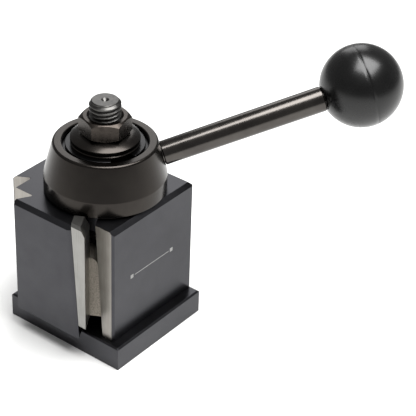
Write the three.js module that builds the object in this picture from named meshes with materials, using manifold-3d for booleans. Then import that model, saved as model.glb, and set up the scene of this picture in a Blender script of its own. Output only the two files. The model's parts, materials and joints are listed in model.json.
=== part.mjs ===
// Quick change tool post of the wedge type, for a small lathe.
// Millimetres, +Z up. The stud's axis is the Z axis, and z = 0 is the face that the post stands on.
// The turning dovetail faces -Y and the facing dovetail faces -X.

import * as THREE from 'three';
import { mergeVertices } from 'three/addons/utils/BufferGeometryUtils.js';
import Module from 'manifold-3d';

const wasm = await Module();
wasm.setup();

// ---------------------------------------------------------------- driving dimensions

// Clearances
const slidingGap = 0.3;        // between a gib and its slot
const runningGap = 0.2;        // radial, between a turning piece and its bore
const threadGap = 0.5;         // between the rotor's thread and a gib's teeth
const threadSideGap = 6;       // degrees, between their flanks
const screwGap = 0.2;          // radial, round a screw or a pin
const seatGap = 0.1;           // between faces that rest on each other

// Base plate
const baseLength = 55;         // along X
const baseWidth = 49.5;        // along Y
const baseThickness = 10;
const baseEdge = 0.6;          // chamfer round its top edge

// Body block, as distances of its sides from the stud's axis
const bodyLeft = 25.1;         // -X side, the shoulder of the facing dovetail
const bodyRight = 23.1;        // +X side
const bodyFront = 22.4;        // -Y side, the shoulder of the turning dovetail
const bodyBack = 24.6;         // +Y side
const bodyHeight = 49.2;
const bodyEdge = 0.8;          // chamfer on the plain corners and the top edges
const landThickness = 9.2;     // top of the block, bored only for the rotor's neck

// Dovetails
const dovetailReach = 7.2;     // how far the dovetail stands out from its shoulder
const dovetailWidth = 36;      // over the two sharp edges, the gib at rest
const dovetailInset = 4.8;     // from the block's corner to the fixed sharp edge
const undercut = 30;           // degrees, a 60 degree dovetail
const sharpEdgeFlat = 1;       // the fixed sharp edge is blunted by this much
const rootRelief = 0.8;        // small step at the foot of the fixed flank

// Gib slots
const slotTilt = 3.75;         // degrees from vertical
const slotWidth = 8.4;         // square across the slot
const slotPastFlank = 5.4;     // square across, from the gib's flank to the slot's far wall, at the foot
const slotFloorWall = 1.2;     // from the thread's crests to the slot's floor, above the tang's window
const slotBevelWidth = 1.9;    // shallow bevel beside the slot, on the dovetail's face
const slotBevelDepth = 0.5;

// Gibs
const gibLift = 6.5;           // from the block's foot to the gib's lower end
const gibProud = 1.8;          // how far the gib stands above the block
const gibBack = 25.9;          // distance of the bar's back from the stud's axis, along the slot
const gibTopBevelWidth = 2.1;  // big bevel on the top of the flank
const gibTopBevelHeight = 3.2;
const tangStep = 1.3;          // from the gib's lower end to the foot of the tang, which carries the half nut
const tangBelowLand = 6.4;     // the tang's top, below the land
const tangCorner = 3.6;        // radius of the tang's upper corners

// Screw rotor and its sleeve
const threadStarts = 3;
const threadLead = 16;         // left-hand, so that a clockwise pull drives the gibs down
const threadDepth = 2;
const threadRelief = 3;        // plain shoulder above the thread
const sleeveRadius = 13;
const rotorWall = 4;           // from the sleeve to the thread's crests
const neckWall = 2.2;          // from the sleeve to the outside of the rotor's neck
const sleeveFlange = 2.8;      // how far the flange stands out from the sleeve
const sleeveProud = 0.2;       // sleeve above the collar
const sleeveSeatDepth = 5;     // of the base plate's counterbore
const flangeSink = 0.4;        // the flange's top, below the base plate's
const lowerWasherThickness = 1.2;

// Collar
const collarLift = 0.7;        // gap under the collar
const collarHeight = 19.8;
const skirtHeight = 6.2;
const skirtRadius = 23.3;
const collarTopRadius = 19.9;
const collarRound = 1;
const counterboreStep = 1;     // how much wider than the rotor's neck the counterbore is
const counterboreDepth = 3.6;
const drivePinRadius = 1.2;
const drivePinLength = 9;
const drivePinCount = 3;

// Retaining ring and upper thrust washer
const ringReach = 2;           // how far the ring stands out from the sleeve
const ringThickness = 1.3;
const ringGrooveDepth = 1;
const ringLip = 0.8;           // sleeve left above the groove
const ringOpening = 38;        // degrees, the ring's open part
const ringOpeningAt = -22;     // degrees from +X
const upperWasherThickness = 1.2;

// Stud, washer and nut
const studRadius = 6;
const studGap = 0.6;           // radial, from the stud to the sleeve's bore
const studProud = 6.3;         // above the nut
const studChamfer = 1;
const clampWasherOverhang = 0.1;  // past the sleeve, all round
const clampWasherRim = 1.8;
const clampWasherHeight = 3.2;
const nutAcrossFlats = 17.3;
const nutHeight = 7.1;
const nutFlatAt = -48.8;       // degrees from +X, the way one flat faces

// Lever
const leverTurn = 50.4;        // degrees from +X
const leverRise = 16.4;        // degrees above horizontal
const leverRootLift = 5.5;     // from the collar's foot to where the lever's axis meets the stud's axis
const leverRadiusAtCollar = 4.7;
const leverRadiusAtKnob = 4.9;
const leverStubRadius = 3.9;
const leverStubWall = 0.3;     // from the rotor's neck to the end of the lever's stub
const leverSeatDepth = 0.5;    // spot face cut in the cone for the lever's shoulder
const knobRadius = 16;
const knobDistance = 102;      // from the stud's axis to the ball's centre, along the lever
const knobFlat = 0.8;          // taken off the ball where the lever enters
const knobLip = 1.5;           // from the flat to the insert inside
const insertRadius = 6;
const insertLength = 13;

// Base screws and the sleeve's pin
const baseScrewRadius = 2;
const baseScrewHeadRadius = 3.5;
const baseScrewHeadHeight = 4;
const baseScrewSink = 0.4;     // head below the base plate's underside
const baseScrewReach = 10;     // into the body
const baseScrewEdge = 4.4;     // from the block's sides to the screws' axes
const hexKeyRadius = 1.7;
const hexKeyDepth = 2;
const sleevePinRadius = 1.5;
const sleevePinInset = 2;      // from the sleeve's outside to the pin's axis
const sleevePinLength = 6;

// Facets round a full turn
const coarse = 24;
const fine = 48;
const threadSteps = 30;        // steps of the thread's twist

// ---------------------------------------------------------------- sizes that follow from them

const bodyTop = baseThickness + bodyHeight;
const landFoot = bodyTop - landThickness;
const gibFoot = baseThickness + gibLift;
const gibTop = bodyTop + gibProud;
const tangFoot = gibFoot + tangStep;
const tangTop = landFoot - tangBelowLand;

const threadMajor = sleeveRadius + rotorWall;
const threadMinor = threadMajor - threadDepth;
const neckRadius = sleeveRadius + neckWall;
const slotFloor = threadMajor + slotFloorWall;
const sleeveBore = studRadius + studGap;
const sleeveSeat = baseThickness - sleeveSeatDepth;
const sleeveFlangeRadius = sleeveRadius + sleeveFlange;
const sleevePinCircle = sleeveRadius - sleevePinInset;

const collarFoot = bodyTop + collarLift;
const collarTop = collarFoot + collarHeight;
const sleeveTop = collarTop + sleeveProud;
const counterboreRadius = neckRadius + counterboreStep;
const ringRadius = sleeveRadius + ringReach;
const leverRootHeight = collarFoot + leverRootLift;

const clampWasherRadius = sleeveRadius + clampWasherOverhang;
const washerFoot = sleeveTop + seatGap;
const nutFoot = washerFoot + clampWasherHeight + seatGap;
const nutTop = nutFoot + nutHeight;
const studLength = nutTop + studProud;

// ---------------------------------------------------------------- helpers

const radians = THREE.MathUtils.degToRad;

/** A closed geometry as a solid for joining and cutting. */
function solid(geometry) {
  const bare = geometry.index ? geometry.toNonIndexed() : geometry.clone();
  bare.deleteAttribute('normal');
  bare.deleteAttribute('uv');
  const merged = mergeVertices(bare, 1e-4);
  const corners = merged.index.array;
  const kept = [];
  for (let i = 0; i < corners.length; i += 3) {
    const [a, b, c] = [corners[i], corners[i + 1], corners[i + 2]];
    if (a !== b && b !== c && c !== a) kept.push(a, b, c);
  }
  return new wasm.Manifold(new wasm.Mesh({
    numProp: 3,
    vertProperties: new Float32Array(merged.attributes.position.array),
    triVerts: new Uint32Array(kept),
  }));
}

/** A solid as a flat-shaded geometry. */
function geometryOf(body) {
  const mesh = body.getMesh();
  const indexed = new THREE.BufferGeometry();
  indexed.setAttribute('position', new THREE.BufferAttribute(new Float32Array(mesh.vertProperties), 3));
  indexed.setIndex(new THREE.BufferAttribute(new Uint32Array(mesh.triVerts), 1));
  const flat = indexed.toNonIndexed();
  flat.computeVertexNormals();
  return flat;
}

const cutAll = (body, cutters) => cutters.reduce((left, cutter) => left.subtract(cutter), body);

/** A prism over an outline of [x, y] points, from one height to another. */
function prism(outline, from, to) {
  const shape = new THREE.Shape(outline.map(([x, y]) => new THREE.Vector2(x, y)));
  const geometry = new THREE.ExtrudeGeometry(shape, { depth: to - from, bevelEnabled: false });
  return geometry.translate(0, 0, from);
}

/** A body turned about Z from a profile of [radius, height] points, closed if it starts off the axis. */
function turned(profile, segments = fine) {
  const points = profile.map(([r, z]) => new THREE.Vector2(r, z));
  const onAxis = profile[0][0] === 0 && profile[profile.length - 1][0] === 0;
  if (!onAxis) points.push(points[0].clone());
  return new THREE.LatheGeometry(points, segments).rotateX(Math.PI / 2);
}

/** A cylinder along Z from one height to another, at [x, y]. */
function rod(radius, from, to, at = [0, 0], segments = coarse) {
  const geometry = new THREE.CylinderGeometry(radius, radius, to - from, segments);
  return geometry.rotateX(Math.PI / 2).translate(at[0], at[1], (from + to) / 2);
}

/** A flat ring along Z. */
const tube = (inner, outer, from, to, segments = fine) => turned(
  [[inner, from], [outer, from], [outer, to], [inner, to]], segments);

/** The point [x, y] at a radius and an angle in degrees. */
const polar = (radius, angle) => [radius * Math.cos(radians(angle)), radius * Math.sin(radians(angle))];

/** Points on a circle, at each of count angles in degrees from start to end. */
function arc(radius, start, end, count) {
  return Array.from({ length: count }, (_, i) => polar(radius, start + (end - start) * i / (count - 1)));
}

// ---------------------------------------------------------------- finishes

const finish = (color, roughness, metalness) => new THREE.MeshStandardMaterial(
  { color, roughness, metalness });
const blackOxide = () => finish(0x2b2b2e, 0.35, 0.7);
const groundSteel = () => finish(0xa7a5a0, 0.35, 0.9);
const castSteel = () => finish(0x8f8470, 0.6, 0.8);
const springSteel = () => finish(0x3a3a3c, 0.4, 0.8);
const brass = () => finish(0xb08d4a, 0.35, 0.9);
const phenolic = () => finish(0x141414, 0.25, 0);

const post = new THREE.Group();

/** Adds one named piece to a group. */
function addPiece(name, body, material, group = post) {
  const mesh = new THREE.Mesh(geometryOf(body), material);
  mesh.name = name;
  group.add(mesh);
  return mesh;
}

// ---------------------------------------------------------------- the two dovetail sides

// On each side, u runs along the face from the fixed sharp edge to the gib, and v straight out of the face.
const tiltRun = Math.tan(radians(slotTilt));       // how far the slot leans to the fixed edge, per height
const sin = Math.sin(radians(undercut));
const cos = Math.cos(radians(undercut));
const flankRun = dovetailReach * sin / cos;

const sides = [
  { name: 'turning', shoulder: bodyFront, corner: -bodyLeft, place: (u, v) => [u, -v] },
  { name: 'facing', shoulder: bodyLeft, corner: -bodyFront, place: (u, v) => [-v, u] },
];
for (const side of sides) {
  side.face = side.shoulder + dovetailReach;
  side.fixedEdge = side.corner + dovetailInset;
  side.ridge = side.fixedEdge + dovetailWidth;
  side.flankFoot = side.ridge - flankRun;          // u where the gib's flank meets the shoulder's plane
  side.slotFar = side.flankFoot + slotPastFlank / cos;
  side.slotNear = side.slotFar - slotWidth / cos;  // both walls' u at the shoulder, at the block's foot
}

/** Outline points given along a side, as world points. */
const onSide = (side, points) => points.map(([u, v]) => side.place(u, v));

/** Leans a solid of a side as its slot leans; the block's foot stays where it is. */
function leaned(side, geometry) {
  const [x, y] = side.place(-tiltRun, 0);
  const shear = new THREE.Matrix4().set(
    1, 0, x, -x * baseThickness,
    0, 1, y, -y * baseThickness,
    0, 0, 1, 0,
    0, 0, 0, 1,
  );
  return geometry.applyMatrix4(shear);
}

/** A leaned band of the slot between two of its lines, from one distance to another along the slot. */
function slotBand(side, near, far, inner, outer, from, to) {
  // A wall's u at a height v out from the axis changes by sin/cos along the slot.
  const at = (wall, along) => {
    const v = (along - (wall - side.shoulder * sin / cos) * sin) * cos;
    return [wall + (v - side.shoulder) * sin / cos, v];
  };
  return leaned(side, prism(onSide(side, [
    at(near, inner), at(near, outer), at(far, outer), at(far, inner),
  ]), from, to));
}

// ---------------------------------------------------------------- body block

const plainCorner = (x, y, dx, dy) => [[x + dx * bodyEdge, y], [x, y + dy * bodyEdge]];
const core = prism([
  [-bodyLeft, -bodyFront],
  ...plainCorner(bodyRight, -bodyFront, -1, 1),
  ...plainCorner(bodyRight, bodyBack, -1, -1).reverse(),
  ...plainCorner(-bodyLeft, bodyBack, 1, -1),
], baseThickness + seatGap, bodyTop);

/** The fixed part of a dovetail; its end beside the slot is trimmed by the slot. */
function dovetail(side) {
  const tail = (side.slotNear + side.slotFar) / 2 - tiltRun * bodyHeight / 2;
  const root = side.fixedEdge + flankRun;
  return prism(onSide(side, [
    [side.fixedEdge + sharpEdgeFlat, side.face],
    [side.fixedEdge + sharpEdgeFlat * sin, side.face - sharpEdgeFlat * cos],
    [root - rootRelief * sin / cos, side.shoulder + rootRelief],
    [root - rootRelief * sin / cos, side.shoulder - rootRelief],
    [tail, side.shoulder - rootRelief],
    [tail + flankRun, side.face],
  ]), baseThickness + seatGap, bodyTop);
}

/** A long three-cornered cutter that chamfers a top edge, from the point a of the outline to the point b. */
function topChamfer(a, b) {
  const along = new THREE.Vector3(b[0] - a[0], b[1] - a[1], 0);
  const length = along.length() + 2 * bodyEdge;
  along.normalize();
  const shape = new THREE.Shape([[bodyEdge, -2 * bodyEdge], [bodyEdge, bodyEdge], [-2 * bodyEdge, bodyEdge]]
    .map(([out, up]) => new THREE.Vector2(out - bodyEdge / 2, up - bodyEdge / 2)));
  const geometry = new THREE.ExtrudeGeometry(shape, { depth: length, bevelEnabled: false });
  const outward = new THREE.Vector3(along.y, -along.x, 0);
  const upward = new THREE.Vector3(0, 0, 1);
  const forward = new THREE.Vector3().crossVectors(outward, upward);
  const start = forward.dot(along) > 0 ? a : b;
  const frame = new THREE.Matrix4().makeBasis(outward, upward, forward);
  frame.setPosition(
    start[0] - forward.x * bodyEdge,
    start[1] - forward.y * bodyEdge,
    bodyTop,
  );
  return geometry.applyMatrix4(frame);
}

const shoulderRadius = threadMajor + runningGap;
const boreRadius = shoulderRadius + runningGap;
const shoulderTop = landFoot - runningGap;       // the rotor's shoulder thrusts against the land
const threadTop = shoulderTop - threadRelief;
const screwPlaces = [
  [-bodyLeft + baseScrewEdge + 1, -bodyFront + baseScrewEdge],
  [bodyRight - baseScrewEdge, -bodyFront + baseScrewEdge],
  [bodyRight - baseScrewEdge, bodyBack - baseScrewEdge],
  [-bodyLeft + baseScrewEdge + 1, bodyBack - baseScrewEdge],
];

/** The slot of a side, and the window below the land through which the tang meets the rotor. */
const slotCutters = (side) => [[slotFloor, bodyTop + 1], [threadMajor / 2, landFoot - 1]].map(
  ([inner, top]) => solid(slotBand(
    side, side.slotNear, side.slotFar, inner, side.face * 1.4, baseThickness - 1, top)));

/** The shallow bevel that runs down the dovetail's face beside the slot. */
function slotBevel(side) {
  const wall = side.slotNear + flankRun;
  return leaned(side, prism(onSide(side, [
    [wall - slotBevelWidth, side.face],
    [wall + slotBevelWidth, side.face - 2 * slotBevelDepth],
    [wall + slotBevelWidth, side.face + slotBevelDepth],
  ]), baseThickness - 1, bodyTop + 1));
}

const blank = sides.reduce((block, side) => block.add(solid(dovetail(side))), solid(core));
const bodyBlock = cutAll(blank, [
  solid(rod(boreRadius, baseThickness - 1, landFoot, [0, 0], fine)),
  solid(rod(neckRadius + runningGap, landFoot - 1, bodyTop + 1, [0, 0], fine)),
  ...sides.flatMap(slotCutters),
  ...sides.map((side) => solid(slotBevel(side))),
  ...sides.map((side) => {
    const [a, b] = onSide(side, [[side.corner, side.face], [side.ridge, side.face]]);
    return solid(side.name === 'turning' ? topChamfer(a, b) : topChamfer(b, a));
  }),
  solid(topChamfer([bodyRight, -bodyFront], [bodyRight, bodyBack])),
  solid(topChamfer([bodyRight, bodyBack], [-bodyLeft, bodyBack])),
  ...screwPlaces.map((at) => solid(rod(
    baseScrewRadius + screwGap, baseThickness - 1, baseThickness + baseScrewReach + 1, at))),
]);
addPiece('body_block', bodyBlock, blackOxide());

// ---------------------------------------------------------------- base plate and its screws

const plateOutline = (inset) => [
  [-baseLength / 2 + inset, -baseWidth / 2 + inset],
  [baseLength / 2 - inset, -baseWidth / 2 + inset],
  [baseLength / 2 - inset, baseWidth / 2 - inset],
  [-baseLength / 2 + inset, baseWidth / 2 - inset],
];

/** The base plate's blank: a block with its top edge chamfered all round. */
function plateBlank() {
  const box = new THREE.BoxGeometry(baseLength, baseWidth, baseThickness).translate(0, 0, baseThickness / 2);
  const top = prism(plateOutline(0), 0, baseThickness - baseEdge);
  const cap = prism(plateOutline(baseEdge), baseThickness - 2 * baseEdge, baseThickness);
  const corners = [...plateOutline(0).map(([x, y]) => [x, y, baseThickness - baseEdge]),
    ...plateOutline(baseEdge).map(([x, y]) => [x, y, baseThickness])];
  const slope = new THREE.BufferGeometry();
  slope.setAttribute('position', new THREE.Float32BufferAttribute(corners.flat(), 3));
  slope.setIndex([0, 3, 2, 0, 2, 1, 4, 5, 6, 4, 6, 7,
    0, 1, 5, 0, 5, 4, 1, 2, 6, 1, 6, 5, 2, 3, 7, 2, 7, 6, 3, 0, 4, 3, 4, 7]);
  return solid(top).add(solid(slope)).add(solid(cap)).intersect(solid(box));
}

const flangeTop = baseThickness - flangeSink;
const pinFoot = sleeveSeat - sleevePinLength / 2;
const basePlate = cutAll(plateBlank(), [
  solid(rod(sleeveBore, -1, baseThickness + 1, [0, 0], fine)),
  solid(rod(sleeveFlangeRadius + screwGap, sleeveSeat, baseThickness + 1, [0, 0], fine)),
  solid(rod(sleevePinRadius + screwGap, pinFoot - seatGap, sleeveSeat + 1, [sleevePinCircle, 0])),
  ...screwPlaces.map((at) => solid(rod(baseScrewRadius + screwGap, -1, baseThickness + 1, at))),
  ...screwPlaces.map((at) => solid(rod(
    baseScrewHeadRadius + screwGap, -1, baseScrewSink + baseScrewHeadHeight + seatGap, at))),
]);
addPiece('base_plate', basePlate, blackOxide());

screwPlaces.forEach((at, i) => {
  const headTop = baseScrewSink + baseScrewHeadHeight;
  const head = solid(rod(baseScrewHeadRadius, baseScrewSink, headTop, at));
  const shank = solid(rod(baseScrewRadius, headTop - 1, baseThickness + baseScrewReach, at, 16));
  const key = solid(rod(hexKeyRadius, baseScrewSink - 1, baseScrewSink + hexKeyDepth, at, 6));
  addPiece(`base_screw_${i + 1}`, head.add(shank).subtract(key), blackOxide());
});

// ---------------------------------------------------------------- centre sleeve and what holds it

const grooveTop = sleeveTop - ringLip;
const grooveFoot = grooveTop - ringThickness - 2 * seatGap;
const sleeve = solid(turned([
  [sleeveBore, sleeveSeat + seatGap],
  [sleeveFlangeRadius, sleeveSeat + seatGap],
  [sleeveFlangeRadius, flangeTop],
  [sleeveRadius, flangeTop],
  [sleeveRadius, grooveFoot],
  [sleeveRadius - ringGrooveDepth, grooveFoot],
  [sleeveRadius - ringGrooveDepth, grooveTop],
  [sleeveRadius, grooveTop],
  [sleeveRadius, sleeveTop],
  [sleeveBore, sleeveTop],
]));
const sleevePinTop = pinFoot + sleevePinLength;
const pinPlace = [sleevePinCircle, 0];
const pinHole = solid(rod(sleevePinRadius + screwGap, sleeveSeat - 1, sleevePinTop + seatGap, pinPlace));
addPiece('center_sleeve', sleeve.subtract(pinHole), blackOxide());
addPiece('sleeve_pin', solid(rod(sleevePinRadius, pinFoot, sleevePinTop, pinPlace, 16)), groundSteel());

const ringOutline = [
  ...arc(ringRadius, ringOpeningAt + ringOpening / 2, ringOpeningAt + 360 - ringOpening / 2, 41),
  ...arc(sleeveRadius - ringGrooveDepth + runningGap,
    ringOpeningAt + ringOpening / 2, ringOpeningAt + 360 - ringOpening / 2, 41).reverse(),
];
const ringFoot = grooveFoot + seatGap;
addPiece('retaining_ring', solid(prism(ringOutline, ringFoot, ringFoot + ringThickness)), springSteel());

// ---------------------------------------------------------------- the swinging assembly

const swing = new THREE.Group();
post.add(swing);

const upperWasherTop = ringFoot - seatGap;
const rotorTop = upperWasherTop - upperWasherThickness - seatGap;
const lowerWasherFoot = flangeTop + seatGap;
const rotorFoot = lowerWasherFoot + lowerWasherThickness + seatGap;
const rotorBore = sleeveRadius + runningGap;

addPiece('lower_thrust_washer', solid(tube(
  rotorBore, sleeveFlangeRadius - runningGap, lowerWasherFoot, lowerWasherFoot + lowerWasherThickness,
)), springSteel());
addPiece('upper_thrust_washer', solid(tube(
  rotorBore, counterboreRadius - runningGap, rotorTop + seatGap, upperWasherTop,
)), springSteel());

/**
 * A many-start left-hand thread from z = 0 past the block's top: one cross-section, twisted as it rises.
 * Every thread turns by the same steps at the same heights, so a thread and its half nut have matching facets.
 */
function threadSolid(minor, major, widen) {
  const sector = 360 / threadStarts;
  const crest = sector * 0.15 + widen;             // half angles, in degrees of the section
  const root = sector * 0.15 - widen;
  const flank = (crest + sector / 2 - root) / 2;   // the middle of a flank
  const outline = [];
  for (let start = 0; start < threadStarts; start += 1) {
    const middle = start * sector;
    outline.push(...arc(major, middle - crest, middle + crest, 4));
    outline.push(polar((major + minor) / 2, middle + flank));
    outline.push(...arc(minor, middle + sector / 2 - root, middle + sector / 2 + root, 4));
    outline.push(polar((major + minor) / 2, middle + sector - flank));
  }
  const steps = Math.ceil(bodyTop / threadLead * threadSteps);
  const depth = steps * threadLead / threadSteps;
  const shape = new THREE.Shape(outline.map(([x, y]) => new THREE.Vector2(x, y)));
  const geometry = new THREE.ExtrudeGeometry(shape, { depth, steps, bevelEnabled: false });
  const place = geometry.attributes.position;
  const corner = new THREE.Vector3();
  const up = new THREE.Vector3(0, 0, 1);
  for (let i = 0; i < place.count; i += 1) {
    corner.fromBufferAttribute(place, i);
    corner.applyAxisAngle(up, -2 * Math.PI * corner.z / threadLead);
    place.setXYZ(i, corner.x, corner.y, corner.z);
  }
  return solid(geometry);
}

const journal = solid(turned([
  [rotorBore - 1, rotorFoot],
  [threadMinor - 0.5, rotorFoot],
  [threadMinor - 0.5, threadTop],
  [shoulderRadius, threadTop],
  [shoulderRadius, shoulderTop],
  [neckRadius, shoulderTop],
  [neckRadius, rotorTop],
  [rotorBore - 1, rotorTop],
]));
const rotorBlank = journal
  .add(threadSolid(threadMinor, threadMajor, 0)
    .intersect(solid(rod(threadMajor + 1, rotorFoot, threadTop + 1))))
  .subtract(solid(rod(rotorBore, 0, bodyTop * 2, [0, 0], fine)));

const drivePinTop = rotorTop - seatGap;
const drivePinPlaces = Array.from({ length: drivePinCount }, (_, i) => {
  const angle = radians(leverTurn + 60 + i * 360 / drivePinCount);
  return [neckRadius * Math.cos(angle), neckRadius * Math.sin(angle)];
});
const drivePinHoles = drivePinPlaces.map((at) => solid(rod(
  drivePinRadius + screwGap, drivePinTop - drivePinLength - seatGap, rotorTop + 1, at)));
addPiece('screw_rotor', cutAll(rotorBlank, drivePinHoles), blackOxide(), swing);
drivePinPlaces.forEach((at, i) => addPiece(
  `drive_pin_${i + 1}`, solid(rod(drivePinRadius, drivePinTop - drivePinLength, drivePinTop, at, 12)),
  groundSteel(), swing));

// The lever's axis rises outwards; a piece made along +Z is laid on it by leverFrame.
const leverFrame = new THREE.Matrix4()
  .makeTranslation(0, 0, leverRootHeight)
  .multiply(new THREE.Matrix4().makeRotationZ(radians(leverTurn)))
  .multiply(new THREE.Matrix4().makeRotationY(radians(90 - leverRise)));
const alongLever = (geometry) => solid(geometry.applyMatrix4(leverFrame));

// Where the lever's axis leaves the cone.
const coneSlope = (skirtRadius - collarTopRadius) / (collarTop - collarFoot - skirtHeight);
const rise = radians(leverRise);
const coneExit = (skirtRadius - coneSlope * (leverRootHeight - collarFoot - skirtHeight))
  / (Math.cos(rise) + coneSlope * Math.sin(rise));
const leverShoulder = coneExit - leverSeatDepth;
const leverStubEnd = (neckRadius + leverStubWall + leverStubRadius * Math.sin(rise)) / Math.cos(rise);

const collarBlank = solid(turned([
  [neckRadius + seatGap, collarFoot],
  [skirtRadius - collarRound / 3, collarFoot],
  [skirtRadius, collarFoot + collarRound / 3],
  [skirtRadius, collarFoot + skirtHeight],
  [collarTopRadius + coneSlope * collarRound, collarTop - collarRound],
  [collarTopRadius - collarRound * 0.25, collarTop - collarRound * 0.3],
  [collarTopRadius - collarRound, collarTop],
  [counterboreRadius + 0.4, collarTop],
  [counterboreRadius, collarTop - 0.4],
  [counterboreRadius, collarTop - counterboreDepth],
  [neckRadius + seatGap, collarTop - counterboreDepth],
]));
addPiece('collar', cutAll(collarBlank, [
  alongLever(rod(leverStubRadius + screwGap, skirtRadius / 2, knobDistance, [0, 0])),
  alongLever(rod(leverRadiusAtCollar + 2 * screwGap, leverShoulder, knobDistance, [0, 0])),
  ...drivePinHoles,
]), blackOxide(), swing);

const knobFace = knobDistance - knobRadius + knobFlat;
const insertFoot = knobFace + knobLip;
const insertTop = insertFoot + insertLength;
addPiece('lever_rod', alongLever(turned([
  [0, leverStubEnd],
  [leverStubRadius, leverStubEnd],
  [leverStubRadius, leverShoulder + slidingGap],
  [leverRadiusAtCollar, leverShoulder + slidingGap],
  [leverRadiusAtKnob, knobFace - slidingGap],
  [leverStubRadius, knobFace - slidingGap],
  [leverStubRadius, insertTop - 2],
  [0, insertTop - 2],
], coarse)), blackOxide(), swing);

const ballProfile = arc(knobRadius, -90, 90, 19)
  .map(([r, h]) => [Math.max(r, 0), h])
  .filter(([, h]) => h > -knobRadius + knobFlat);
const flatRadius = Math.sqrt(knobRadius ** 2 - (knobRadius - knobFlat) ** 2);
const ball = turned([
  [0, knobFlat - knobRadius],
  [flatRadius, knobFlat - knobRadius],
  ...ballProfile.slice(0, -1),
  [0, knobRadius],
], 32).translate(0, 0, knobDistance);
addPiece('ball_knob', cutAll(alongLever(ball), [
  alongLever(rod(leverStubRadius + slidingGap, knobFace - 1, insertTop)),
  alongLever(rod(insertRadius + slidingGap, insertFoot - slidingGap, insertTop + slidingGap)),
]), phenolic(), swing);
addPiece('knob_insert', alongLever(tube(
  leverStubRadius + slidingGap, insertRadius, insertFoot, insertTop, coarse)), brass(), swing);

// ---------------------------------------------------------------- gibs

/** A wedge gib: a tapered bar whose flank is the dovetail's moving side, and a tang with the half nut. */
function gib(side) {
  const clearance = slidingGap / cos;
  const near = side.slotNear + clearance;
  const far = side.slotFar - clearance;
  const leanedBar = slotBand(side, near, far, gibBack, side.face * 1.5, gibFoot, gibTop);
  const bevelStart = side.ridge - gibTopBevelWidth;
  const upright = prism(onSide(side, [
    [side.corner, side.face],
    [side.ridge, side.face],
    [side.ridge - side.face * sin / cos, 0],
    [side.corner, 0],
  ]), gibFoot - 1, gibTop + 1);
  const bar = solid(leanedBar)
    .intersect(solid(upright))
    .subtract(flankBevel(side, bevelStart));
  const tangBand = slotBand(side, near, far, threadMinor - 1, gibBack + 0.5, tangFoot, tangTop);
  const tang = solid(tangBand).intersect(tangOutline(side, near, far));
  return bar.add(tang).subtract(threadSolid(
    threadMinor + threadGap, threadMajor + threadGap, threadSideGap));
}

/** The big bevel on the top of a gib's flank, as a cutter. */
function flankBevel(side, bevelStart) {
  const slope = gibTopBevelHeight / gibTopBevelWidth;
  const past = 3;
  const at = (u, v, z) => [...side.place(u + (v - side.face) * sin / cos, v), z];
  const corners = [];
  for (const v of [0, side.face + past]) {
    corners.push(at(bevelStart, v, gibTop));
    corners.push(at(bevelStart + gibTopBevelWidth + past, v, gibTop - gibTopBevelHeight - past * slope));
    corners.push(at(bevelStart + gibTopBevelWidth + past, v, gibTop + past));
    corners.push(at(bevelStart - past / slope, v, gibTop + past));
  }
  return hexahedron(corners);
}

/** A solid over eight corners: four at one end and the same four at the other. */
function hexahedron(corners) {
  const quads = [[0, 1, 2, 3], [7, 6, 5, 4], [0, 4, 5, 1], [1, 5, 6, 2], [2, 6, 7, 3], [3, 7, 4, 0]];
  const centre = corners
    .reduce((sum, c) => sum.add(new THREE.Vector3(...c)), new THREE.Vector3())
    .divideScalar(8);
  const [a, b, c] = quads[0].map((i) => new THREE.Vector3(...corners[i]));
  const normal = b.clone().sub(a).cross(c.clone().sub(a));
  const outward = normal.dot(a.clone().sub(centre)) > 0;
  const order = outward ? [0, 1, 2, 0, 2, 3] : [0, 2, 1, 0, 3, 2];
  const geometry = new THREE.BufferGeometry();
  geometry.setAttribute('position', new THREE.Float32BufferAttribute(corners.flat(), 3));
  geometry.setIndex(quads.flatMap((quad) => order.map((i) => quad[i])));
  return solid(geometry);
}

/** The tang seen along its slot, with rounded upper corners, as a long solid. */
function tangOutline(side, near, far) {
  const across = (u) => (u - side.shoulder * sin / cos) * cos;
  const lean = tiltRun * cos;
  const left = across(near) - lean * (tangTop - baseThickness) - 1;
  const topRight = across(far) - lean * (tangTop - baseThickness);
  const right = across(far) + 1;
  const shape = new THREE.Shape();
  shape.moveTo(left, tangFoot - 1);
  shape.lineTo(right, tangFoot - 1);
  shape.lineTo(topRight + lean * tangCorner, tangTop - tangCorner);
  shape.quadraticCurveTo(topRight, tangTop, topRight - tangCorner, tangTop);
  shape.lineTo(left, tangTop);
  const depth = 3 * threadMajor;
  const geometry = new THREE.ExtrudeGeometry(shape, { depth, bevelEnabled: false, curveSegments: 6 });
  const [ax, ay] = side.place(cos, -sin);
  const acrossWay = new THREE.Vector3(ax, ay, 0);
  const up = new THREE.Vector3(0, 0, 1);
  const way = new THREE.Vector3().crossVectors(acrossWay, up);
  const [dx, dy] = side.place(sin, cos);
  const frame = new THREE.Matrix4().makeBasis(acrossWay, up, way);
  if (way.x * dx + way.y * dy < 0) frame.setPosition(dx * depth, dy * depth, 0);
  return solid(geometry.applyMatrix4(frame));
}

for (const side of sides) {
  addPiece(`${side.name}_gib`, gib(side), castSteel());
}

// ---------------------------------------------------------------- stud, clamp washer and nut

addPiece('clamp_washer', solid(turned([
  [studRadius + slidingGap, washerFoot],
  [clampWasherRadius, washerFoot],
  [clampWasherRadius, washerFoot + clampWasherRim],
  [nutAcrossFlats / 2 + 0.4, washerFoot + clampWasherHeight],
  [studRadius + slidingGap, washerFoot + clampWasherHeight],
])), blackOxide());

addPiece('stud', solid(turned([
  [0, 0],
  [studRadius - studChamfer, 0],
  [studRadius, studChamfer],
  [studRadius, studLength - studChamfer],
  [studRadius - studChamfer, studLength],
  [1.6, studLength],
  [0, studLength - 1.2],
], coarse)), blackOxide());

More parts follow.
